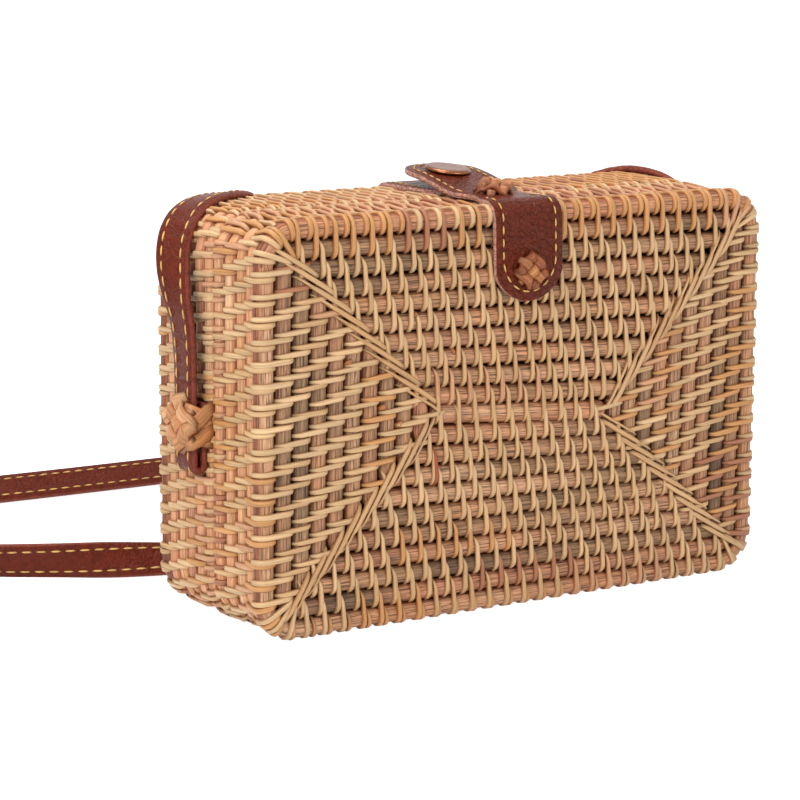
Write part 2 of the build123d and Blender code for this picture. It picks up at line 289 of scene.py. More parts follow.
rod_finish = fibrous(
    "rattan_rod", lengthwise=85.0, around=30.0, contrast=0.46, hairlines=0.7, bump=0.8, roughness=0.55
)
wall_rod_finish = fibrous(
    "rattan_wall_rod", lengthwise=70.0, around=24.0, contrast=0.26, hairlines=0.4, bump=0.6, roughness=0.55
)
rod_tan = linear(218, 158, 112)
rod_rose = linear(218, 150, 112)
rod_pale = linear(234, 188, 146)
rod_grey = linear(160, 124, 90)
rod_dark = linear(112, 84, 60)
# Painted light: the rods of the side wall are coloured brighter than those of the face by this gain
wall_painted_light = 1.12
# Painted shade on the sides of a rod that face the next rod: a darker, redder tone, and where it begins round
# the rod
painted_crevice_shade = np.array([0.5, 0.3, 0.2])
painted_crevice_start = 0.6
grain_start = 9
# Tints of a rod: level, spread from rod to rod, and drift along it as points between changes and spread
grey_odds, grey_drift = 0.16, (8, 0.3)
dark_drift = (6, 0.5)
pale_level, pale_drift = 0.25, (11, 0.45)
rose_level, rose_odds, rose_drift = 0.2, 0.3, (13, 0.35)
rod_square = 2.5
rod_turn = np.arange(rod_sides) / rod_sides * tau
rod_across = np.sign(np.cos(rod_turn)) * np.abs(np.cos(rod_turn)) ** (2 / rod_square)
rod_beside = np.sign(np.sin(rod_turn)) * np.abs(np.sin(rod_turn)) ** (2 / rod_square)


def smooth(share):
    """An even rise from 0 to 1 with level ends."""
    share = np.clip(share, 0, 1)
    return share * share * (3 - 2 * share)


def rod_tones(count, grey_share):
    """Colours along a rod: tan, with stretches of grey-brown as wide as the share says."""
    mix = np.clip(grey_share + draw.normal(0, grey_odds) + drift(count, *grey_drift), 0, 1)[:, None]
    deep = np.clip(drift(count, *dark_drift), 0, 1)[:, None]
    pale = np.clip(pale_level + drift(count, *pale_drift), 0, 1)[:, None]
    rosy = np.clip(draw.normal(rose_level, rose_odds) + drift(count, *rose_drift), 0, 1)[:, None]
    warm = rod_tan + (rod_pale - rod_tan) * pale
    warm = warm + (rod_rose - warm) * rosy
    cool = rod_grey + (rod_dark - rod_grey) * deep
    return warm + (cool - warm) * mix


def add_rod(bundle, half, places, depth, normals, grey_share, beside, painted_light_gain=1.0, pressed=0.0):
    """One closed turn of rod, a little flattened on its four sides, with painted shade where it lies beside
    the next.

    It is pressed flat on its inner side where the lining is glued to it.
    """
    count = len(places)
    wander = drift(count, wander_points, rod_wander)[:, None]
    radius = rod_radius * (1 + drift(count, swell_points, rod_swell))
    points = placed(half, *(places + wander * normals).T, depth)
    inward = turned(half, *normals.T, 0 * depth)
    forward = unit(np.roll(points, -1, axis=0) - np.roll(points, 1, axis=0))
    across = unit(inward)
    side = np.cross(forward, across)
    inner = np.where(rod_across > 0, 1 - pressed / rod_radius, 1.0)
    ring = across[:, None] * (rod_across * inner)[None, :, None] + side[:, None] * rod_beside[None, :, None]
    sections = points[:, None] + radius[:, None, None] * ring
    # Painted shade: the sides of the rod that face its neighbours are coloured darker and redder
    painted_crevice = smooth((np.abs(beside) - painted_crevice_start) / (1 - painted_crevice_start))[:, None]
    # Painted light: the gain brightens the rods of the side wall
    shade = painted_light_gain * (1 + (painted_crevice_shade - 1) * painted_crevice)
    tones = rod_tones(count, grey_share)[:, None] * shade[None]
    bundle.strand(sections, tones, travelled(points) + draw.uniform(0, grain_start), loop=True)


def wall_lean(half, rod):
    """How far a rod of the side wall stands in from the wall's widest line."""
    return front_lean[rod] if half["turn"] > 0 else 0.0


for half_name, half in halves.items():
    rods, wall_rods = Bundle(), Bundle()
    for ring in range(coil_rings + 1):
        half_x = core_half + ring * coil_pitch
        half_z = max(ring * coil_pitch, core_half_height)
        bend_radius = max(corner_radius - rod_depth - (coil_rings - ring) * coil_pitch, least_bend)
        places, normals = rounded_loop(half_x, half_z, min(bend_radius, half_z), rod_step)
        share = 1 - ring / coil_rings
        slope = (places[:, 0] + half_x) / (2 * half_x)
        places[:, 1] += middle_z - share * (core_drop_left + slope * (core_drop_right - core_drop_left))
        grey = np.interp(ring, ring_marks, ring_grey)
        add_rod(rods, half, places, np.full(len(places), rod_depth), normals, grey, rod_across)
    for rod in range(1, half["rods"]):
        lean = wall_lean(half, rod)
        inset = rod_depth + lean
        places, normals = rounded_loop(
            half_width - inset, middle_z - inset, corner_radius - inset, rod_step
        )
        places[:, 1] += middle_z
        depth = np.full(len(places), (rod + 0.5) * wall_pitch)
        add_rod(wall_rods, half, places, depth, normals, wall_grey, rod_beside, wall_painted_light, lean)
    woven_rods = rods.piece(f"{half_name}_rods", rod_finish, "rattan")
    stacked_rods = wall_rods.piece(f"{half_name}_wall_rods", wall_rod_finish, "rattan")
    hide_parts(half["node"])
    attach(woven_rods, half["body"])
    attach(stacked_rods, half["body"])

# Cane stitches of the weave
# Split cane, half round, laced over two rods at a time from the rim to the middle of the face. Each row
# begins beside the row before it, corners are laced along the mitre, and the rim rod is bound by itself.
strip_width = 0.00185
face_widths, wall_widths = (0.88, 1.1), (0.95, 1.15)
strip_thick = 0.0008
wall_thick = 0.0011
wrap_turn = radians(74)
arc_points = 7
rim_spacing = 0.0046
rim_turn = radians(125)
hook_points = 4
rim_scatter = 0.0003
stitch_scatter = 0.00028
stitch_sway = 0.0003
mitre_margin = 0.0006
outline_step = 0.0005
top_slope = -0.02
section_up = np.array([0.55, 0.25, -0.45, -0.45, 0.25, 0.55])
section_out = np.array([0.27, 0.47, 0.5, -0.5, -0.47, -0.27])
progress_marks = np.array([0.0, 0.12, 0.3, 0.6, 0.9, 1.0])
lateral_down = np.array([-0.0012, -0.0008, -0.0001, 0.0003, 0.0002, -0.0001])
lateral_across = np.array([-0.0004, -0.0003, -0.0001, 0.0002, 0.0006, 0.0012])
width_down = np.array([0.4, 0.56, 0.82, 1.0, 0.96, 0.62])
width_across = np.array([0.6, 0.8, 0.98, 1.04, 1.0, 0.85])
straw = linear(222, 186, 140)
wheat = linear(208, 168, 118)
blush = linear(208, 156, 116)
amber = linear(206, 150, 92)
russet = linear(172, 114, 80)
rim_coloured, mitre_coloured = 0.3, 0.0
amber_share, russet_share = 0.6, 0.7
lacing_stitches = (3, 11)
cane_tones = (0.9, 1.05)
# Darker sides of each strip: in part the cane's own darker skin at its edges, in part painted shade on the
# sides that turn from the light
edge_skin_and_painted_shade = np.array([0.6, 0.42, 0.3])
edge_skin_and_shade_depth = 0.8
# Painted shade at both ends of each strip, where it goes in under what it is laced through
painted_end_marks = np.array([0, 0.12, 0.3, 0.85, 1])
painted_end_shade = np.array([0.5, 0.78, 1, 1, 0.72])
cane_finish = fibrous(
    "split_cane", lengthwise=40.0, around=7.0, contrast=0.2, hairlines=0.12, bump=0.35, roughness=0.42
)


class Lacing:
    """A length of cane, which gives several stitches in a row before the next length begins."""

    def __init__(self, coloured_share):
        self.coloured_share = coloured_share
        self.left = 0

    def tone(self):
        """The colour of the next stitch."""
        if self.left <= 0:
            self.left = draw.integers(*lacing_stitches)
            pick = draw.random() / max(self.coloured_share, 1e-6)
            if pick < amber_share:
                self.colour = amber
            elif pick < russet_share:
                self.colour = russet
            elif pick < 1:
                self.colour = blush
            else:
                self.colour = straw + (wheat - straw) * draw.random()
        self.left -= 1
        return self.colour * draw.uniform(*cane_tones)


def add_strip(bundle, points, outward, widths, tone, thick=strip_thick):
    """One stitch, laid along points with its round side outwards."""
    forward = unit(np.gradient(points, axis=0))
    out = unit(outward - (outward * forward).sum(1, keepdims=True) * forward)
    side = np.cross(forward, out)
    sections = (
        points[:, None]
        + out[:, None] * (section_up * thick)[None, :, None]
        + side[:, None] * (section_out[None, :] * widths[:, None])[:, :, None]
    )
    # Painted shade on the strip's sides, together with the cane's darker skin there
    edge = np.abs(section_out) / section_out.max()
    shade = 1 + (edge_skin_and_painted_shade - 1) * np.clip(2 * edge - 1, 0, 1)[:, None] * edge_skin_and_shade_depth
    # Painted shade: the strip is darker towards its ends
    ends = np.interp(np.linspace(0, 1, len(points)), painted_end_marks, painted_end_shade)
    tones = tone * shade[None] * ends[:, None, None]
    bundle.strand(sections, tones, travelled(points) + draw.uniform(0, grain_start))


def wrap_line(rods, row, start_turn=None, end_turn=None, lift=0.0):
    """The line of a stitch over two rods, and its outward directions, in the plane across the rods."""
    first, second = rods[row], rods[row + 1]
    ahead = unit(second - first)
    outward = np.array([ahead[1], -ahead[0]])

    def bend(before, here, after):
        one, two = unit(here - before), unit(after - here)
        return np.arccos(np.clip(one @ two, -1, 1))

    if start_turn is None:
        start_turn = wrap_turn + bend(rods[row - 1], first, second)
    if end_turn is None:
        end_turn = wrap_turn + bend(first, second, rods[row + 2])
    reach = rod_radius + strip_thick / 2 + lift
    down, up = np.linspace(start_turn, 0, arc_points), np.linspace(0, end_turn, arc_points)
    begin = outward * np.cos(down)[:, None] - ahead * np.sin(down)[:, None]
    finish = outward * np.cos(up)[:, None] + ahead * np.sin(up)[:, None]
    line = np.concatenate([first + reach * begin, second + reach * finish])
    return line, np.concatenate([begin, finish])


outline_places, outline_normals = rounded_loop(half_width, middle_z, corner_radius, outline_step)
outline_run = travelled(np.concatenate([outline_places, outline_places[:1]]))


def on_outline(distance):
    """The place and the inward normal at a distance round the bag's outline."""
    distance = np.mod(distance, outline_run[-1])
    columns = [
        np.interp(distance, outline_run, np.append(column, column[0]))
        for column in (*outline_places.T, *outline_normals.T)
    ]
    return np.stack(columns[:2], axis=-1), unit(np.stack(columns[2:], axis=-1))


def edge_stitch(bundle, half, line, outward, distance, tone, width=strip_width):
    """One stitch of the side wall or of the edge, at a distance round the outline."""
    _, normal = on_outline(np.array([distance]))
    downward = abs(normal[0, 1]) > abs(normal[0, 0])
    forward = normal[0, 1] < top_slope if downward else normal[0, 0] > 0
    if not forward:
        line, outward = line[::-1], outward[::-1]
    share = travelled(line) / travelled(line)[-1]
    lateral, taper = (lateral_down, width_down) if downward else (lateral_across, width_across)
    offset = np.interp(share, progress_marks, lateral) * (1 if forward else -1)
    places, normals = on_outline(distance + offset)
    inset, depth = line[:, :1], line[:, 1]
    flat = places + inset * normals
    points = placed(half, flat[:, 0], flat[:, 1] + middle_z, depth)
    out = turned(half, *(outward[:, :1] * normals).T, outward[:, 1])
    add_strip(bundle, points, out, width * np.interp(share, progress_marks, taper), tone, wall_thick)


def face_stitch(bundle, half, line, outward, section, place, tone):
    """One stitch of the face, in its top, right, bottom or left section."""
    inward, forward = section["inward"], section["forward"]
    if not forward:
        line, outward = line[::-1], outward[::-1]
    share = travelled(line) / travelled(line)[-1]
    lateral, taper = (lateral_down, width_down) if inward[0] == 0 else (lateral_across, width_across)
    offset = np.interp(share, progress_marks, lateral) + share * draw.normal(0, stitch_sway)
    beside = place + offset * (1 if forward else -1)
    flat = section["origin"] + beside[:, None] * section["along"] + line[:, :1] * inward
    points = placed(half, flat[:, 0], flat[:, 1] + middle_z - core_skew(flat, line[:, 0]), line[:, 1])
    out = turned(half, *(outward[:, :1] * inward).T, outward[:, 1])
    widths = strip_width * draw.uniform(*face_widths) * np.interp(share, progress_marks, taper)
    add_strip(bundle, points, out, widths, tone)


def core_skew(flat, inset):
    """How far the weave lies below its even place, which grows towards the middle rod."""
    share = np.clip((inset - rod_depth) / (coil_rings * coil_pitch), 0, 1)
    half_x = half_width - inset
    slope = np.clip((flat[:, 0] + half_x) / (2 * half_x), 0, 1)
    return share * (core_drop_left + slope * (core_drop_right - core_drop_left))


# The four sections of a face run clockwise from the top one. In each, rows shift forward as they go inwards.
right, up = np.array([1.0, 0.0]), np.array([0.0, 1.0])
side_run = 2 * (half_width - corner_radius)
end_run = 2 * (middle_z - corner_radius)
bend_run = corner_radius * pi / 2
top_middle = bend_run + side_run / 2
right_middle = top_middle + side_run / 2 + bend_run + end_run / 2
bottom_middle = right_middle + end_run / 2 + bend_run + side_run / 2
left_middle = bottom_middle + side_run / 2 + bend_run + end_run / 2
sections = [
    {
        "origin": up * middle_z, "along": right, "inward": -up, "half": half_width, "forward": True,
        "middle": top_middle, "spacing": 0.0068, "shift": 0.0022, "coloured": 0.13, "wall_coloured": 0.8,
    },
    {
        "origin": right * half_width, "along": -up, "inward": -right, "half": middle_z, "forward": False,
        "middle": right_middle, "spacing": 0.0067, "shift": 0.0020, "coloured": 0.18, "wall_coloured": 0.35,
    },
    {
        "origin": -up * middle_z, "along": -right, "inward": up, "half": half_width, "forward": False,
        "middle": bottom_middle, "spacing": 0.0070, "shift": 0.0022, "coloured": 0.13, "wall_coloured": 0.5,
    },
    {
        "origin": -right * half_width, "along": up, "inward": right, "half": middle_z, "forward": True,
        "middle": left_middle, "spacing": 0.0070, "shift": 0.0022, "coloured": 0.18, "wall_coloured": 0.35,
    },
]
# The strands that lace a mitre: how far beside it, along it and above the rods each lies, and its width
mitre_strands = ((-0.0006, 0.0024, 0.0003, 0.0010), (0.0002, 0.0, 0.0008, 0.0017))
mitre_marks = np.array([0, 0.25, 0.7, 1])
mitre_slant = np.array([-0.0018, -0.001, 0.0008, 0.0016])
# Painted shade: the strands crowded along each mitre are coloured darker
mitre_painted_shade = np.array([0.92, 0.86, 0.8])
# Cut ends of old cane that stick out between the rods, and one odd stitch of it below the middle of the front
cut_ends = 9
cut_points = 5
cut_margin = 0.004
cut_tone = linear(176, 112, 62)
odd_stitch_tone = linear(150, 74, 36)
odd_stitch_turn = 7
odd_stitch_lift = 0.0003
odd_stitch_place = 0.0345


def stitch_places(section, row, last_rod, reach):
    """Where the stitches of a row stand along its section. The top's lacing goes on through the bottom."""
    first = row
    if section["inward"] is sections[2]["inward"]:
        first = row - (2 * last_rod + 2 * coil_rings - 1)
    step = section["spacing"]
    first = (first * section["shift"]) % step
    count = int(reach / step) + 2
    places = first + np.arange(-count, count) * step + draw.normal(0, stitch_scatter, 2 * count)
    return places[np.abs(places) < reach]


for half_name, half in halves.items():
    last_rod = half["rods"] - 1
    wall_rods = [
        [rod_depth + wall_lean(half, rod), (rod + 0.5) * wall_pitch] for rod in range(last_rod, 0, -1)
    ]
    face_rods = [[rod_depth + turn * coil_pitch, rod_depth] for turn in range(coil_rings + 2)]
    rods = np.array(wall_rods + face_rods)

    wall_stitches = Bundle()
    rim_line, rim_outward = wrap_line(rods, 0, start_turn=rim_turn, end_turn=0.0)
    rim_line, rim_outward = rim_line[:arc_points], rim_outward[:arc_points]
    hook = np.linspace(0, wrap_turn, hook_points)[1:]
    rim_ahead = unit(rods[1] - rods[0])
    rim_out = np.array([rim_ahead[1], -rim_ahead[0]])
    hooked = rim_out * np.cos(hook)[:, None] + rim_ahead * np.sin(hook)[:, None]
    rim_line = np.concatenate([rim_line, rods[0] + (rod_radius + strip_thick / 2) * hooked])
    rim_outward = np.concatenate([rim_outward, hooked])
    rim_count = round(outline_run[-1] / rim_spacing)
    lacing = Lacing(rim_coloured)
    for i in range(rim_count):
        distance = i / rim_count * outline_run[-1] + draw.normal(0, rim_scatter)
        edge_stitch(wall_stitches, half, rim_line, rim_outward, distance, lacing.tone())
    for row in range(last_rod + 1):
        line, outward = wrap_line(rods, row, start_turn=wrap_turn if row == 0 else None)
        for section in sections:
            lacing = Lacing(section["wall_coloured"])
            reach = (side_run if section["along"][0] else end_run) / 2 + bend_run / 2
            for place in stitch_places(section, row, last_rod, reach):
                width = strip_width * draw.uniform(*wall_widths)
                distance = section["middle"] + place
                edge_stitch(wall_stitches, half, line, outward, distance, lacing.tone(), width)
    wall_weave = wall_stitches.piece(f"{half_name}_wall_stitches", cane_finish, "cane")
    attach(wall_weave, half["body"])

    face_stitches = Bundle()
    for row in range(last_rod + 1, last_rod + coil_rings):
        line, outward = wrap_line(rods, row)
        outer, inner = rods[row][0], rods[row + 1][0]
        for section in sections:
            lacing = Lacing(section["coloured"])
            reach = section["half"] - (outer + inner) / 2 - mitre_margin
            for place in stitch_places(section, row, last_rod, reach):
                face_stitch(face_stitches, half, line, outward, section, place, lacing.tone())
    mitre_rods = rods.copy()
    for turn in range(coil_rings + 2):
        bend_radius = max(corner_radius - rod_depth - turn * coil_pitch, least_bend)
        mitre_rods[last_rod + turn, 0] += bend_radius * (1 - cos(pi / 4))
    for side_x in (-1, 1):
        for side_z in (-1, 1):
            corner = np.array([side_x * half_width, side_z * middle_z])
            diagonal = np.array([-side_x, -side_z])
            aside = np.array([side_z, -side_x])
            lacing = Lacing(mitre_coloured)
            for row in range(last_rod + 1, last_rod + coil_rings - 1):
                for beside, slide, lift, wide in mitre_strands:
                    line, outward = wrap_line(mitre_rods, row, start_turn=wrap_turn, lift=lift)
                    share = travelled(line) / travelled(line)[-1]
                    offset = beside + np.interp(share, mitre_marks, mitre_slant)
                    flat = corner + (line[:, :1] + slide) * diagonal + offset[:, None] * aside
                    drop = core_skew(flat, line[:, 0])
                    points = placed(half, flat[:, 0], flat[:, 1] + middle_z - drop, line[:, 1])
                    out = turned(half, *(outward[:, :1] * diagonal).T, outward[:, 1])
                    widths = wide * np.interp(share, progress_marks, width_across)
                    add_strip(face_stitches, points, out, widths, lacing.tone() * mitre_painted_shade)
    for _ in range(cut_ends):
        section = sections[draw.integers(len(sections))]
        row = last_rod + draw.integers(2, coil_rings - 1)
        line, outward = wrap_line(rods, row)
        reach = section["half"] - rods[row + 1][0] - cut_margin
        place = draw.uniform(-reach, reach)
        face_stitch(face_stitches, half, line[:cut_points], outward[:cut_points], section, place, cut_tone)
    if half_name == "front":
        line, outward = wrap_line(rods, last_rod + odd_stitch_turn, lift=odd_stitch_lift)
        face_stitch(face_stitches, half, line, outward, sections[2], odd_stitch_place, odd_stitch_tone)
    face_weave = face_stitches.piece(f"{half_name}_face_stitches", cane_finish, "cane")
    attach(face_weave, half["body"])

# Cloth linings
# Thin cotton glued to the inside of each half, coloured near black; it is what shows through the gaps of the
# weave.
lining_finish, tree, shader = new_material("lining_cotton")
cloth_place = add_node(tree, "ShaderNodeTexCoord")
cloth_waves = add_node(
    tree, "ShaderNodeTexNoise", {"Vector": cloth_place.outputs["Object"], "Scale": 900.0, "Detail": 2.0}
)
cloth_colour = add_node(tree, "ShaderNodeValToRGB", {"Fac": cloth_waves.outputs["Fac"]})
cloth_black, cloth_brown = (0.012, 0.008, 0.006, 1), (0.045, 0.034, 0.028, 1)
cloth_colour.color_ramp.elements[0].color = cloth_black
cloth_colour.color_ramp.elements[1].color = cloth_brown
tree.links.new(cloth_colour.outputs["Color"], shader.inputs["Base Color"])
cloth_bump = add_node(tree, "ShaderNodeBump", {"Height": cloth_waves.outputs["Fac"], "Strength": 0.5})
tree.links.new(cloth_bump.outputs["Normal"], shader.inputs["Normal"])
shader.inputs["Roughness"].default_value = 0.9


def dress(material, *names):
    """Gives nodes of the frame a finish in place of their plain one."""
    for name in names:
        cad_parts[name].data.materials.clear()
        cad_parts[name].data.materials.append(material)


dress(lining_finish, "front_lining", "back_lining")

# Hinge lashings
# Cane wound round the two rim rods in the bottom seam, where the front half swings.
lashing_turns, turn_points = 7, 12
lashing_margin, lashing_inset = 0.001, 0.0003
lashing_width, lashing_thick = 0.0021, 0.0006
wound = lashing_turns * turn_points + 1
for name in ("hinge_tie_left", "hinge_tie_right"):
    low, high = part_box(name)
    angle = np.linspace(0, lashing_turns * tau, wound)
    centre = (low + high) / 2
    core = (high.z - low.z) / 2 - lashing_inset
    points = np.stack(
        [
            np.linspace(low.x + lashing_margin, high.x - lashing_margin, wound),
            centre.y + core * np.cos(angle),
            centre.z + core * np.sin(angle),
        ],
        axis=1,
    )
    outward = np.stack([np.zeros(wound), np.cos(angle), np.sin(angle)], axis=1)
    lashing = Bundle()
    add_strip(lashing, points, outward, np.full(wound, lashing_width), wheat, thick=lashing_thick)
    lashing_piece = lashing.piece(f"{name}_lashing", cane_finish, "cane")
    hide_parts(name)
    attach(lashing_piece, "back_half")

# Leather closure
# One strip of grained cowhide, rounded at both ends, folded over the top edge of the front half and drawn in
# at the top knot. Its free end carries the snap. The cut edges are pale, and ochre thread runs all round.
tab_low, tab_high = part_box("closure_tab")
_, flap_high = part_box("closure_flap")
leather = 0.002
tab_half = tab_high.x
flap_half = flap_high.x
tab_layer = tab_high.z - leather / 2
tab_plane = tab_low.y + leather / 2
fold_radius = 0.0052
flap_marks = np.array([-0.022, -0.014, -0.006, 0.002, 0.008, 0.014, 0.020, flap_high.y])
flap_rise = np.array([0, 0.0002, 0.0014, 0.0032, 0.0044, 0.0052, 0.0057, 0.0060])
rise_points, rise_blur = 60, 3
waist_y, waist_depth = -0.017, 0.0048
waist_front, waist_back = 0.0145, 0.008
tab_shift = 0.0009
closure_step = 0.0014
tip_start, tip_points = 0.05, 14
thread_inset = 0.0031
thread_before_waist, thread_after_waist = 0.007, 0.0045
sewn_points, sewn_arc_points = 60, 40
# Thread of the closure: length of a stitch, gap to the next and width
closure_thread = (0.0028, 0.0013, 0.0006)
thread_rise = np.array([-0.1, 0.12, 0.2, 0.12, -0.1])
thread_taper = np.array([0.5, 0.95, 1, 0.95, 0.5])
thread_flat = 0.6
thread_tones = (0.85, 1.1)
hide_brown = linear(102, 37, 18)
hide_edge = linear(190, 140, 122)
ochre = linear(232, 190, 112)
edge_start, edge_run = 0.968, 0.022
hide_round = np.array([0, 0.5, edge_start, 0.99, 1, 0.99, edge_start, 0.5])
hide_round = np.concatenate([hide_round, -hide_round])
hide_rise = np.array([1, 1, 0.97, 0.72, 0, -0.72, -0.97, -1])
hide_rise = np.concatenate([hide_rise, -hide_rise])

# Grain of leather: small cells between fine creases, with longer wrinkles
hide_grain = bpy.data.node_groups.new("hide_grain", "ShaderNodeTree")
for socket in ("Cells", "Wrinkles"):
    hide_grain.interface.new_socket(socket, in_out="INPUT", socket_type="NodeSocketFloat")
for socket in ("Height", "Wear"):
    hide_grain.interface.new_socket(socket, in_out="OUTPUT", socket_type="NodeSocketFloat")
grain_in = hide_grain.nodes.new("NodeGroupInput")
grain_out = hide_grain.nodes.new("NodeGroupOutput")
hide_place = add_node(hide_grain, "ShaderNodeTexCoord")
hide_shift = add_node(
    hide_grain, "ShaderNodeTexNoise", {"Vector": hide_place.outputs["Object"], "Scale": 300.0, "Detail": 2.0}
)
hide_bent = add_node(
    hide_grain,
    "ShaderNodeVectorMath",
    {0: hide_shift.outputs["Color"], 1: (0.0024, 0.0024, 0.0024), 2: hide_place.outputs["Object"]},
    operation="MULTIPLY_ADD",
)
hide_cells = add_node(
    hide_grain,
    "ShaderNodeTexVoronoi",
    {"Vector": hide_bent.outputs[0], "Scale": grain_in.outputs["Cells"]},
    feature="DISTANCE_TO_EDGE",
)
hide_creases = remap(hide_grain, hide_cells.outputs["Distance"], 0.0, 1.0, stop=0.12)
hide_wrinkles = add_node(
    hide_grain,
    "ShaderNodeTexNoise",
    {"Vector": hide_bent.outputs[0], "Scale": grain_in.outputs["Wrinkles"], "Detail": 3.0, "Distortion": 1.2},
)
hide_height = add_node(
    hide_grain,
    "ShaderNodeMath",
    {0: hide_wrinkles.outputs["Fac"], 1: 2.6, 2: hide_creases},
    operation="MULTIPLY_ADD",
)
hide_grain.links.new(hide_height.outputs[0], grain_out.inputs["Height"])
hide_grain.links.new(hide_wrinkles.outputs["Fac"], grain_out.inputs["Wear"])


def hide(name, cells, wrinkles, relief, roughness):
    """Grained leather in the tone of its piece, a little paler where it creases."""
    material, tree, shader = new_material(name)
    tone = add_node(tree, "ShaderNodeVertexColor", layer_name="tone")
    group = add_node(tree, "ShaderNodeGroup", node_tree=hide_grain)
    group.inputs["Cells"].default_value = cells
    group.inputs["Wrinkles"].default_value = wrinkles
    worn = remap(tree, group.outputs["Wear"], 0.8, 1.2, start=0.35, stop=0.7)
    shaded = add_node(tree, "ShaderNodeVectorMath", {0: tone.outputs["Color"]}, operation="SCALE")
    tree.links.new(worn, shaded.inputs["Scale"])
    tree.links.new(shaded.outputs[0], shader.inputs["Base Color"])
    rough = remap(tree, group.outputs["Wear"], roughness - 0.08, roughness + 0.12)
    tree.links.new(rough, shader.inputs["Roughness"])
    raised = add_node(
        tree, "ShaderNodeBump", {"Height": group.outputs["Height"], "Strength": relief, "Distance": 0.00035}
    )
    tree.links.new(raised.outputs["Normal"], shader.inputs["Normal"])
    shader.inputs["Specular IOR Level"].default_value = 0.11
    return material


closure_finish = hide("closure_hide", cells=460.0, wrinkles=420.0, relief=1.0, roughness=0.26)
thread_finish = fibrous(
    "ochre_thread", lengthwise=900.0, around=3.0, contrast=0.3, hairlines=0.0, bump=0.4, roughness=0.6
)


def add_hide(bundle, points, outward, half_widths):
    """A strip of the closure's leather along points, of a half width at each, with pale cut edges."""
    across = np.cross(unit(np.gradient(points, axis=0)), outward)
    sections = (
        points[:, None]
        + outward[:, None] * (hide_rise * leather / 2)[None, :, None]
        + across[:, None] * (hide_round[None, :] * half_widths[:, None])[:, :, None]
    )
    raw = np.clip((np.abs(hide_round) - edge_start) / edge_run, 0, 1)[:, None]
    tones = hide_brown + (hide_edge - hide_brown) * raw
    bundle.strand(sections, tones[None], travelled(points))


def sew(bundle, points, outward, stitch, gap, width):
    """Ochre thread stitches along a line on the leather."""
    run = travelled(points)
    step = run[-1] / max(round(run[-1] / (stitch + gap)), 1)
    for begin in np.arange(0, run[-1] - step / 2, step):
        marks = begin + np.linspace(0, stitch, len(thread_rise))
        line = np.stack([np.interp(marks, run, axis) for axis in points.T], axis=1)
        out = unit(np.stack([np.interp(marks, run, axis) for axis in outward.T], axis=1))
        line = line + out * thread_rise[:, None] * width
        tone = ochre * draw.uniform(*thread_tones)
        add_strip(bundle, line, out, width * thread_taper, tone, thick=width * thread_flat)


def profile_run(pieces):
    """A side profile as places in Y and Z, with the distance along it and its outward normals."""
    line = np.concatenate(pieces)
    keep = np.append(True, np.linalg.norm(np.diff(line, axis=0), axis=1) > 1e-7)
    line = line[keep]
    ahead = unit(np.gradient(line, axis=0))
    return line, travelled(line), np.stack([-ahead[:, 1], ahead[:, 0]], axis=1)


def on_profile(profile, distance):
    """Points and outward directions in space at distances along a side profile."""
    line, run, normal = profile
    y, z = (np.interp(distance, run, axis) for axis in line.T)
    out_y, out_z = (np.interp(distance, run, axis) for axis in normal.T)
    zero = np.zeros_like(y)
    return np.stack([zero, y, z], axis=1), unit(np.stack([zero, out_y, out_z], axis=1))


def end_marks(length, begin, finish, step):
    """Distances along a strip, close together where its ends are rounded."""
    sweep = 1 - np.cos(np.linspace(tip_start, pi / 2, tip_points))
    middle = np.arange(begin, length - finish, step)[1:]
    return np.concatenate([begin * sweep, middle, length - finish * sweep[::-1]])


def tip_half(radius, short):
    """Half the width of a rounded tip, at so much short of where the strip has its full width."""
    return np.sqrt(np.maximum(radius**2 - np.maximum(short, 0) ** 2, 1e-9))


quarter = np.linspace(0, pi / 2, 9)
rise_y = np.linspace(flap_marks[0], flap_marks[-1], rise_points)
rise_z = np.interp(rise_y, flap_marks, flap_rise)
blur_span = 2 * rise_blur + 1
rise_z[rise_blur:-rise_blur] = np.convolve(rise_z, np.ones(blur_span) / blur_span, mode="valid")
closure_profile = profile_run(
    [
        np.stack([np.full(2, tab_plane), [tab_low.z, tab_layer - fold_radius]], axis=1),
        np.stack(
            [
                tab_plane + fold_radius * (1 - np.cos(quarter)),
                tab_layer - fold_radius + fold_radius * np.sin(quarter),
            ],
            axis=1,
        ),
        np.stack([rise_y, tab_layer + rise_z], axis=1),
    ]
)
closure_length = closure_profile[1][-1]
waist_at = np.interp(waist_y, closure_profile[0][:, 0], closure_profile[1])


def closure_half(distance):
    """Half the width of the closure leather, along it from the tip of the tab."""
    drawn_in = np.where(
        distance < waist_at,
        waist_depth * smooth(1 - (waist_at - distance) / waist_front),
        (flap_half - tab_half + waist_depth) * smooth((distance - waist_at) / waist_back),
    )
    half = np.where(distance < waist_at, tab_half - drawn_in, tab_half - waist_depth + drawn_in)
    half = np.minimum(half, tip_half(tab_half, tab_half - distance))
    return np.minimum(half, tip_half(flap_half, flap_half - (closure_length - distance)))


def on_closure(distance):
    """Points and outward directions along the closure leather, which hangs a little to the right in front."""
    points, outward = on_profile(closure_profile, distance)
    points[:, 0] += tab_shift * smooth(1 - distance / waist_at)
    return points, outward


def sewn_outline(half_at, begin, finish, tip, radius):
    """The thread's line round one end of a strip, as distances along it and offsets across it."""
    sides = np.linspace(begin, finish, sewn_points)
    offset = half_at(sides) - thread_inset
    arc = np.linspace(0, pi, sewn_arc_points)[1:-1]
    toward = np.sign(tip - finish)
    arc_along = finish + toward * (radius - thread_inset) * np.sin(arc)
    along = np.concatenate([sides, arc_along, sides[::-1]])
    across = np.concatenate([offset, offset[-1] * np.cos(arc), -offset[::-1]])
    return along, across


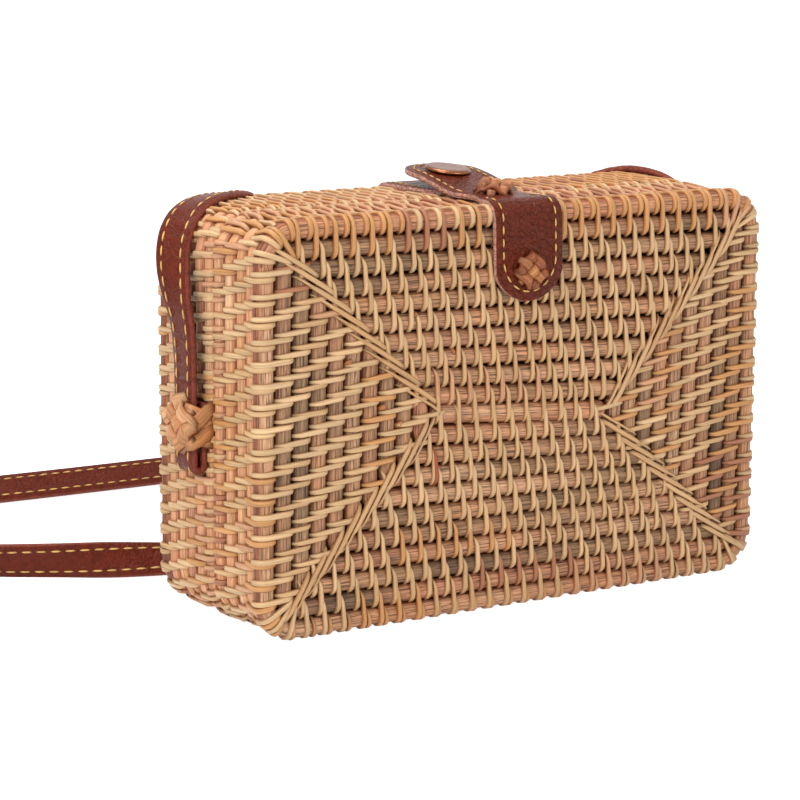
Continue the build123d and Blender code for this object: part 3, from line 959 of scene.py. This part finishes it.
closure_marks = end_marks(closure_length, tab_half, flap_half, closure_step)
points, outward = on_closure(closure_marks)
sideways = np.array([1.0, 0, 0])
closure = Bundle()
add_hide(closure, points, outward, closure_half(closure_marks))
closure_piece = closure.piece("closure_leather", closure_finish, "closure_leather")
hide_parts("closure_tab", "closure_flap")
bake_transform(closure_piece)

closure_threads = Bundle()
for begin, finish, tip, radius in (
    (waist_at - thread_before_waist, tab_half, 0.0, tab_half),
    (waist_at + thread_after_waist, closure_length - flap_half, closure_length, flap_half),
):
    along, across = sewn_outline(closure_half, begin, finish, tip, radius)
    points, outward = on_closure(along)
    line = points + across[:, None] * sideways + outward * (leather / 2)
    sew(closure_threads, line, outward, *closure_thread)
closure_thread_piece = closure_threads.piece("closure_threads", thread_finish, "closure_leather")
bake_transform(closure_thread_piece)

# Stud tab
# The leather under the flap, laid over the back edge of the back half. It carries the stud of the snap.
stud_low, stud_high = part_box("stud_tab")
stud_half = stud_high.x
corner_share = 0.7
stud_corner = corner_share * stud_half
stud_plane = stud_high.y - leather / 2
stud_profile = profile_run(
    [
        np.array([[stud_low.y, tab_layer]]),
        np.stack(
            [
                stud_plane - fold_radius * (1 - np.sin(quarter)),
                tab_layer - fold_radius * (1 - np.cos(quarter)),
            ],
            axis=1,
        ),
        np.array([[stud_plane, stud_low.z]]),
    ]
)
stud_length = stud_profile[1][-1]


def stud_tab_half(distance):
    """Half the width of the stud tab, along it from its end under the flap."""
    half = stud_half - stud_corner + tip_half(stud_corner, stud_corner - distance)
    return np.minimum(half, tip_half(stud_half, stud_half - (stud_length - distance)))


stud_marks = end_marks(stud_length, stud_corner, stud_half, closure_step)
points, outward = on_profile(stud_profile, stud_marks)
stud_leather = Bundle()
add_hide(stud_leather, points, outward, stud_tab_half(stud_marks))
stud_piece = stud_leather.piece("stud_tab_leather", closure_finish, "closure_leather")
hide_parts("stud_tab")
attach(stud_piece, "back_half")
stud_threads = Bundle()
along, across = sewn_outline(stud_tab_half, stud_corner, stud_length - stud_half, stud_length, stud_half)
points, outward = on_profile(stud_profile, along)
line = points + across[:, None] * sideways + outward * (leather / 2)
sew(stud_threads, line, outward, *closure_thread)
stud_thread_piece = stud_threads.piece("stud_tab_threads", thread_finish, "closure_leather")
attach(stud_thread_piece, "back_half")

# Plaited knots on the leather
# Flat caramel cane, plaited over and under on the face of the leather, with its ends pushed through it.
caramel = linear(152, 80, 36)
caramel_pale = linear(214, 143, 86)
tawny = linear(206, 140, 86)
tawny_pale = linear(230, 174, 120)
knot_finish = fibrous(
    "knot_cane", lengthwise=60.0, around=9.0, contrast=0.35, hairlines=0.3, bump=0.6, roughness=0.42
)
knot_strand, knot_pitch, knot_turn = 0.0034, 0.0036, radians(44)
plait_points = 19
plait_lengths, plait_places = (0.92, 1.08), (0.96, 1.04)
plait_wave, plait_sink, plait_thick = 0.0009, 0.0004, 0.0012
plait_ends, end_width, end_growth = 0.32, 0.72, 0.28


def add_plait(bundle, centre, along, outward, strand, pitch, lengths, angle, height, dark, pale):
    """A small plait of two sets of crossed strips, each strip over and under those that it meets."""
    centre, along, outward = np.array(centre), np.array(along, float), np.array(outward, float)
    upward = np.cross(outward, along)
    reach = (len(lengths) - 1) / 2
    for turn, phase in ((angle, 0.0), (-angle, pi)):
        ahead = along * cos(turn) + upward * sin(turn)
        aside = np.cross(outward, ahead)
        for i, length in enumerate(lengths):
            length = length * draw.uniform(*plait_lengths)
            share = np.linspace(-1, 1, plait_points)
            distance = share * length / 2
            place = (i - reach) * pitch * draw.uniform(*plait_places)
            envelope = smooth((1 - np.abs(share)) / plait_ends)
            wave = np.cos(pi * distance / pitch + pi * (i - reach) + phase)
            rise = (height + plait_wave * wave) * envelope - plait_sink * (1 - envelope)
            points = centre + ahead * distance[:, None] + aside * place + outward * rise[:, None]
            tone = dark + (pale - dark) * draw.random()
            widths = strand * (end_width + end_growth * envelope)
            add_strip(bundle, points, np.broadcast_to(outward, points.shape), widths, tone, plait_thick)


small_plait, tall_plait = (0.0088, 0.0116, 0.0088), (0.0108, 0.0138, 0.0108)
for name, body, along, outward, lengths, height in (
    ("front_knot", "front_half", (1, 0, 0), (0, -1, 0), small_plait, 0.0017),
    ("top_knot", "front_half", (1, 0, 0), (0, -0.2, 0.98), tall_plait, 0.0026),
    ("back_knot", "back_half", (-1, 0, 0), (0, 1, 0), small_plait, 0.0017),
):
    low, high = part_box(name)
    centre = (low + high) / 2
    base = [centre[i] - outward[i] * (high - low)[i] / 2 for i in range(3)]
    base[0] += tab_shift if name == "front_knot" else 0
    knot = Bundle()
    add_plait(
        knot, base, along, outward, knot_strand, knot_pitch, lengths, knot_turn, height, caramel, caramel_pale
    )
    knot_piece = knot.piece(f"{name}_plait", knot_finish, "cane")
    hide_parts(name)
    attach(knot_piece, body)

# Snap
# A pressed rose-gold cap riveted through the flap, with its socket below, and the stud on the tab beneath.
snap_finish, tree, shader = new_material("rose_gold")
snap_place = add_node(tree, "ShaderNodeTexCoord")
snap_noise = add_node(
    tree, "ShaderNodeTexNoise", {"Vector": snap_place.outputs["Object"], "Scale": 700.0, "Detail": 4.0}
)
snap_rough = remap(tree, snap_noise.outputs["Fac"], 0.2, 0.36)
snap_tint = add_node(tree, "ShaderNodeValToRGB", {"Fac": snap_noise.outputs["Fac"]})
snap_tint.color_ramp.elements[0].color = (*linear(131, 82, 57), 1)
snap_tint.color_ramp.elements[1].color = (*linear(149, 98, 70), 1)
tree.links.new(snap_tint.outputs["Color"], shader.inputs["Base Color"])
tree.links.new(snap_rough, shader.inputs["Roughness"])
shader.inputs["Metallic"].default_value = 1.0
cap_low, cap_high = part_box("snap_cap")
cap_centre = (cap_low + cap_high) / 2
cap_growth = 1.05
cap_radius = cap_growth * (cap_high.x - cap_low.x) / 2
cap_base = flap_high.z
cap_lean, cap_dip = radians(7), radians(2.5)
cap_shift = 0.0008
cap_hub = 0.002
cap_grain = 0.001
cap_rise = cap_high.z - cap_base
cap_shape = np.array(
    [
        (0.0, 0.94), (0.35, 0.96), (0.7, 0.99), (0.86, 1.0), (0.91, 0.95), (0.96, 0.8),
        (0.995, 0.5), (1.0, 0.25), (0.985, 0.05), (0.9, -0.05), (0.0, -0.05),
    ]
)
cap_sides = 56
cap_turn = np.arange(cap_sides) / cap_sides * tau
cap = Bundle()
cap_rings = np.stack(
    [
        np.stack(
            [
                cap_centre.x + max(share, cap_hub) * cap_radius * np.cos(cap_turn),
                cap_centre.y + max(share, cap_hub) * cap_radius * np.sin(cap_turn),
                np.full(cap_sides, cap_base + rise * cap_rise),
            ],
            axis=1,
        )
        for share, rise in cap_shape[::-1]
    ]
)
cap_rings -= (cap_centre.x, cap_centre.y, cap_base)
cap_rings[..., 2] += np.tan(cap_lean) * cap_rings[..., 1] - np.tan(cap_dip) * cap_rings[..., 0]
cap_rings += (cap_centre.x, cap_centre.y + cap_shift, cap_base)
cap.strand(cap_rings, np.ones(3), np.arange(len(cap_shape)) * cap_grain)
cap_piece = cap.piece("snap_cap_pressed", snap_finish, "snap_metal")
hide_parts("snap_cap")
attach(cap_piece, "flap")
dress(snap_finish, "snap_socket", "snap_stud")

# Folded strap ends
# The strap is folded back on itself against each side wall and held there by a plaited cane knot.
strap_width = 0.0125
strap_thick = 0.0025
strap_brown = linear(100, 36, 19)
# Painted highlight: a paler, pinker tone on both rolled edges of the strap, where they turn
strap_painted_edge_highlight = linear(132, 66, 52)
strap_finish = hide("strap_hide", cells=560.0, wrinkles=360.0, relief=0.45, roughness=0.28)
strap_row = 0.0037
# Thread of the strap: length of a stitch, gap to the next and width
strap_thread = (0.0034, 0.0016, 0.00065)
exit_height = 0.080
inner_top = 0.073
fold_clear = 0.0015
inner_points, outer_points, fold_points = 8, 10, 15
roll_start, roll_run = 0.88, 0.1
ribbon_round = np.array([0, 0.5, roll_start, 0.97, 1, 0.97, roll_start, 0.5])
ribbon_round = np.concatenate([ribbon_round, -ribbon_round])
ribbon_rise = np.array([1, 1, 0.96, 0.6, 0, -0.6, -0.96, -1])
ribbon_rise = np.concatenate([ribbon_rise, -ribbon_rise])
strap_knot_strand, strap_knot_pitch, strap_knot_turn = 0.0054, 0.0052, radians(40)
strap_knot_lengths, strap_knot_height, strap_knot_lift = (0.0145, 0.0175, 0.0145), 0.0016, 0.0002
# The bands that tie a knot to the wall: heights of both ends, and how far each lies over the others
bands = (
    (-0.006, -0.0015, 0.0),
    (-0.0015, -0.006, 0.0006),
    (-0.001, 0.005, 0.0004),
    (0.0055, 0.0, 0.0009),
)
band_width, band_thick, band_clear = 0.0052, 0.0009, 0.0006
band_y = strap_width / 2 + band_clear
# Along a band: how far out from the wall and then from the strap it is, its share of the climb, its turn in
band_from_wall = np.array([-0.002, 0.001])
band_from_strap = np.array([-0.002, 0.0006, 0.0014])
band_climb = np.array([0, 0.2, 0.7, 0.9, 1])
band_turn_in = np.array([0, 0, 0, 0.0006, 0.003])


def add_strap(bundle, points, outward, across):
    """A length of the strap, with rolled edges painted paler as a highlight."""
    sections = (
        points[:, None]
        + outward[:, None] * (ribbon_rise * strap_thick / 2)[None, :, None]
        + across[:, None] * (ribbon_round * strap_width / 2)[None, :, None]
    )
    # Painted highlight along the rolled edges
    painted_roll_highlight = np.clip((np.abs(ribbon_round) - roll_start) / roll_run, 0, 1)[:, None]
    bundle.strand(sections, (strap_brown + (strap_painted_edge_highlight - strap_brown) * painted_roll_highlight)[None], travelled(points))


def sew_strap(bundle, points, outward, across, faces=(1, -1)):
    """The two rows of thread along a length of the strap."""
    for face in faces:
        for side in (1, -1):
            line = points + across * (side * strap_row) + outward * (face * strap_thick / 2)
            sew(bundle, line, outward * face, *strap_thread)


for side_name, side in (("left", -1), ("right", 1)):
    low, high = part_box(f"strap_fold_{side_name}")
    inner = (high.x if side < 0 else low.x) + side * strap_thick / 2
    outer = (low.x if side < 0 else high.x) - side * strap_thick / 2
    bow = abs(outer - inner) / 2
    bottom = low.z + strap_thick / 2 + bow + fold_clear
    turn = np.linspace(0, pi, fold_points)
    folded = (inner + outer) / 2 - side * bow * np.cos(turn)
    fold_x = np.concatenate([[inner] * inner_points, folded, [outer] * outer_points])
    fold_z = np.concatenate(
        [
            np.linspace(inner_top, bottom, inner_points + 1)[:-1],
            bottom - bow * np.sin(turn),
            np.linspace(bottom, exit_height, outer_points + 1)[1:],
        ]
    )
    points = np.stack([fold_x, np.full(len(fold_x), (low.y + high.y) / 2), fold_z], axis=1)
    ahead = unit(np.gradient(points, axis=0))
    across = np.broadcast_to(np.array([0.0, -1.0, 0.0]) * side, points.shape)
    outward = unit(np.cross(across, ahead))
    strap_end = Bundle()
    add_strap(strap_end, points, outward, across)
    end_piece = strap_end.piece(f"strap_end_{side_name}", strap_finish, "strap_leather")
    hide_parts(f"strap_fold_{side_name}")
    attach(end_piece, "back_half")
    end_threads = Bundle()
    facing = 1 if outward[-1, 0] * side > 0 else -1
    sewn = slice(inner_points + 1, None)
    sew_strap(end_threads, points[sewn], outward[sewn], across[sewn], faces=(facing,))
    end_thread_piece = end_threads.piece(f"strap_end_{side_name}_threads", thread_finish, "strap_leather")
    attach(end_thread_piece, "back_half")

    knot_low, knot_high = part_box(f"strap_knot_{side_name}")
    knot_centre = (knot_low + knot_high) / 2
    proud = outer + side * (strap_thick / 2)
    wall_x = side * half_width
    knot = Bundle()
    base = (proud + side * strap_knot_lift, knot_centre.y, knot_centre.z)
    add_plait(
        knot, base, (0, 1, 0), (side, 0, 0), strap_knot_strand, strap_knot_pitch, strap_knot_lengths,
        strap_knot_turn, strap_knot_height, tawny, tawny_pale,
    )
    reach = np.concatenate([wall_x + side * band_from_wall, proud + side * band_from_strap])
    for low_end, high_end, over in bands:
        for edge in (-1, 1):
            level = low_end + (high_end - low_end) * band_climb
            beside = band_y + over - band_turn_in
            points = np.stack([reach, knot_centre.y + edge * beside, knot_centre.z + level], axis=1)
            out = np.array([(0, edge, 0), (0, edge, 0), (0, edge, 0), (side, edge, 0), (side, 0, 0)], float)
            tone = tawny + (tawny_pale - tawny) * draw.random()
            add_strip(knot, points, unit(out), np.full(len(points), band_width), tone, band_thick)
    knot_piece = knot.piece(f"strap_knot_{side_name}_plait", knot_finish, "cane")
    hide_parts(f"strap_knot_{side_name}")
    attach(knot_piece, "back_half")

# Shoulder strap
# A flat leather strap with rolled edges and two rows of ochre thread. It rises from each folded end, drops
# behind the bag and lies on its edge in a loose loop on the floor.
strap_route = [
    (-0.10505, 0.0048, 0.080), (-0.10505, 0.0048, 0.095), (-0.1070, 0.0080, 0.109), (-0.1056, 0.0126, 0.1222),
    (-0.1000, 0.0160, 0.1314), (-0.0915, 0.020, 0.1353), (-0.0815, 0.026, 0.1359), (-0.0705, 0.034, 0.1348),
    (-0.0605, 0.0432, 0.1300), (-0.0545, 0.0505, 0.117), (-0.050, 0.0545, 0.093), (-0.046, 0.0565, 0.067),
    (-0.0435, 0.0575, 0.043), (-0.045, 0.0575, 0.022), (-0.055, 0.0565, 0.0085), (-0.070, 0.0575, 0.0055),
    (-0.090, 0.063, 0.0061), (-0.113, 0.0740, 0.0064), (-0.139, 0.0885, 0.0064), (-0.165, 0.110, 0.0064),
    (-0.186, 0.140, 0.0064), (-0.189, 0.173, 0.0064), (-0.166, 0.193, 0.0060), (-0.124, 0.1968, 0.0054),
    (-0.075, 0.1942, 0.0053), (-0.006, 0.193, 0.0053), (0.050, 0.193, 0.0054), (0.092, 0.184, 0.0060),
    (0.111, 0.158, 0.0064), (0.109, 0.128, 0.0064), (0.105, 0.095, 0.0064), (0.091, 0.071, 0.0058),
    (0.074, 0.0595, 0.0080), (0.0625, 0.0575, 0.024), (0.060, 0.0565, 0.055), (0.063, 0.0545, 0.089),
    (0.069, 0.0515, 0.113), (0.079, 0.046, 0.1298), (0.090, 0.0385, 0.1344), (0.0985, 0.030, 0.1343),
    (0.1043, 0.0215, 0.1308), (0.1065, 0.014, 0.1225), (0.1062, 0.008, 0.110), (0.10505, 0.0048, 0.095),
    (0.10505, 0.0048, 0.080),
]
# Which way the width of the strap points, at some of the route's points
strap_lies = {
    0: (0, -1, 0), 1: (0.1, -1, 0), 2: (0.42, -0.9, 0), 3: (0.5, -0.86, 0), 4: (0.54, -0.84, 0.08),
    6: (0.6, -0.78, 0.14), 8: (0.7, -0.7, 0.1), 12: (0.8, -0.6, 0), 14: (0.5, -0.5, -0.5),
    15: (0.1, -0.82, -0.56), 16: (0.0, -0.5, -0.87), 17: (0, 0.1, -0.99), 18: (0, 0.34, -0.94),
    21: (0, 0, -1), 23: (0, -0.75, -0.66), 26: (0, -0.75, -0.66), 28: (0, 0, -1), 30: (0.3, -0.3, -0.9),
    31: (0.35, -0.75, -0.56), 32: (0.3, -0.9, -0.3), 33: (-0.3, -0.95, 0), 34: (-0.7, -0.7, 0),
    37: (-0.7, -0.7, 0.1), 39: (-0.6, -0.75, 0.3), 40: (-0.5, -0.83, 0.25), 42: (-0.2, -0.98, 0),
    43: (0, -1, 0), 44: (0, -1, 0),
}
route_curve = bpy.data.curves.new("strap_line", "CURVE")
route_curve.dimensions = "3D"
spline = route_curve.splines.new("NURBS")
spline.points.add(len(strap_route) - 1)
for point, place in zip(spline.points, strap_route):
    point.co = (*place, 1)
spline.order_u = 3
spline.use_endpoint_u = True
spline.resolution_u = 12
route_object = bpy.data.objects.new("strap_line", route_curve)
bpy.context.scene.collection.objects.link(route_object)
route_mesh = bpy.data.meshes.new_from_object(route_object)
strap_points = np.array([vertex.co for vertex in route_mesh.vertices])
bpy.data.objects.remove(route_object)
bpy.data.meshes.remove(route_mesh)
bpy.data.curves.remove(route_curve)

place_along = np.linspace(0, len(strap_route) - 1, len(strap_points))
lie_axes = np.array(list(strap_lies.values()), float).T
strap_across = np.stack([np.interp(place_along, list(strap_lies), axis) for axis in lie_axes], axis=1)
strap_ahead = unit(np.gradient(strap_points, axis=0))
strap_across = unit(strap_across - (strap_across * strap_ahead).sum(1, keepdims=True) * strap_ahead)
for i in range(1, len(strap_across)):
    if strap_across[i] @ strap_across[i - 1] < 0:
        strap_across[i] *= -1
strap_outward = np.cross(strap_across, strap_ahead)
strap = Bundle()
add_strap(strap, strap_points, strap_outward, strap_across)
strap_piece = strap.piece("strap", strap_finish, "strap_leather")
strap_threads = Bundle()
sew_strap(strap_threads, strap_points, strap_outward, strap_across)
strap_thread_piece = strap_threads.piece("strap_threads", thread_finish, "strap_leather")
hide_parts("shoulder_strap")
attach(strap_piece, "back_half")
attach(strap_thread_piece, "back_half")

# Studio
# A white floor and white surroundings, lit softly from above, from the left and from the front, with the
# camera where the photograph was taken from.
floor_level = -0.0006
floor_reach = 6.0
floor_glow = 0.9
room_light = 0.33


def seen_rays(tree):
    """A socket that gives 1 to rays that the camera sees by, mirrored or let through too, else 0."""
    rays = add_node(tree, "ShaderNodeLightPath").outputs
    seen = calc(tree, "MAXIMUM", rays["Is Camera Ray"], rays["Is Glossy Ray"])
    return calc(tree, "MAXIMUM", seen, rays["Is Transmission Ray"])


floor_mesh = bpy.data.meshes.new("floor")
floor_mesh.from_pydata(
    [(x * floor_reach, y * floor_reach, floor_level) for x, y in ((-1, -1), (1, -1), (1, 1), (-1, 1))],
    [],
    [(0, 1, 2, 3)],
)
floor = bpy.data.objects.new("floor", floor_mesh)
bpy.context.scene.collection.objects.link(floor)
floor_finish, tree, shader = new_material("white_floor")
shader.inputs["Base Color"].default_value = (0.86, 0.86, 0.86, 1)
shader.inputs["Roughness"].default_value = 0.9
shader.inputs["Specular IOR Level"].default_value = 0.1
shader.inputs["Emission Color"].default_value = (1, 1, 1, 1)
tree.links.new(calc(tree, "MULTIPLY", seen_rays(tree), floor_glow), shader.inputs["Emission Strength"])
floor_mesh.materials.append(floor_finish)

world = bpy.data.worlds.new("white_room")
world.use_nodes = True
bpy.context.scene.world = world
tree = world.node_tree
tree.nodes["Background"].inputs["Color"].default_value = (1, 1, 1, 1)
room_level = remap(tree, seen_rays(tree), room_light, 1.0)
tree.links.new(room_level, tree.nodes["Background"].inputs["Strength"])


def add_lamp(name, place, aim, size, watts):
    """A square soft box at a place, turned to what it lights."""
    lamp = bpy.data.lights.new(name, "AREA")
    lamp.shape = "SQUARE"
    lamp.size = size
    lamp.energy = watts
    box = bpy.data.objects.new(name, lamp)
    box.location = place
    box.rotation_euler = (Vector(aim) - Vector(place)).to_track_quat("-Z", "Y").to_euler()
    bpy.context.scene.collection.objects.link(box)


bag_middle = (0, 0, middle_z)
add_lamp("top_box", (-0.25, 0.1, 1.2), bag_middle, size=0.7, watts=10.5)
add_lamp("left_box", (-1.1, -0.6, 0.7), bag_middle, size=0.6, watts=8.7)
add_lamp("front_box", (0.4, -1.3, 0.7), bag_middle, size=0.6, watts=5.4)

camera_azimuth = radians(-32.58)
camera_elevation = radians(10.69)
camera_roll = radians(0.38)
camera_distance = 0.92733
camera_target = Vector((-0.02624, 0, middle_z - 0.00067))
photo_side = 800
focal_pixels = 2756.92
sensor = 36.0
back = Vector(
    (
        sin(camera_azimuth) * cos(camera_elevation),
        -cos(camera_azimuth) * cos(camera_elevation),
        sin(camera_elevation),
    )
)
level_right = Vector((cos(camera_azimuth), sin(camera_azimuth), 0))
level_up = back.cross(level_right)
view_right = level_right * cos(camera_roll) + level_up * sin(camera_roll)
view_up = level_up * cos(camera_roll) - level_right * sin(camera_roll)
lens = bpy.data.cameras.new("photo_camera")
lens.sensor_width = sensor
lens.lens = sensor * focal_pixels / photo_side
lens.clip_end = 50
camera = bpy.data.objects.new("photo_camera", lens)
turn = Matrix((view_right, view_up, back)).transposed().to_4x4()
camera.matrix_world = Matrix.Translation(camera_target + back * camera_distance) @ turn
bpy.context.scene.collection.objects.link(camera)
bpy.context.scene.camera = camera
bpy.context.scene.view_settings.view_transform = "Standard"
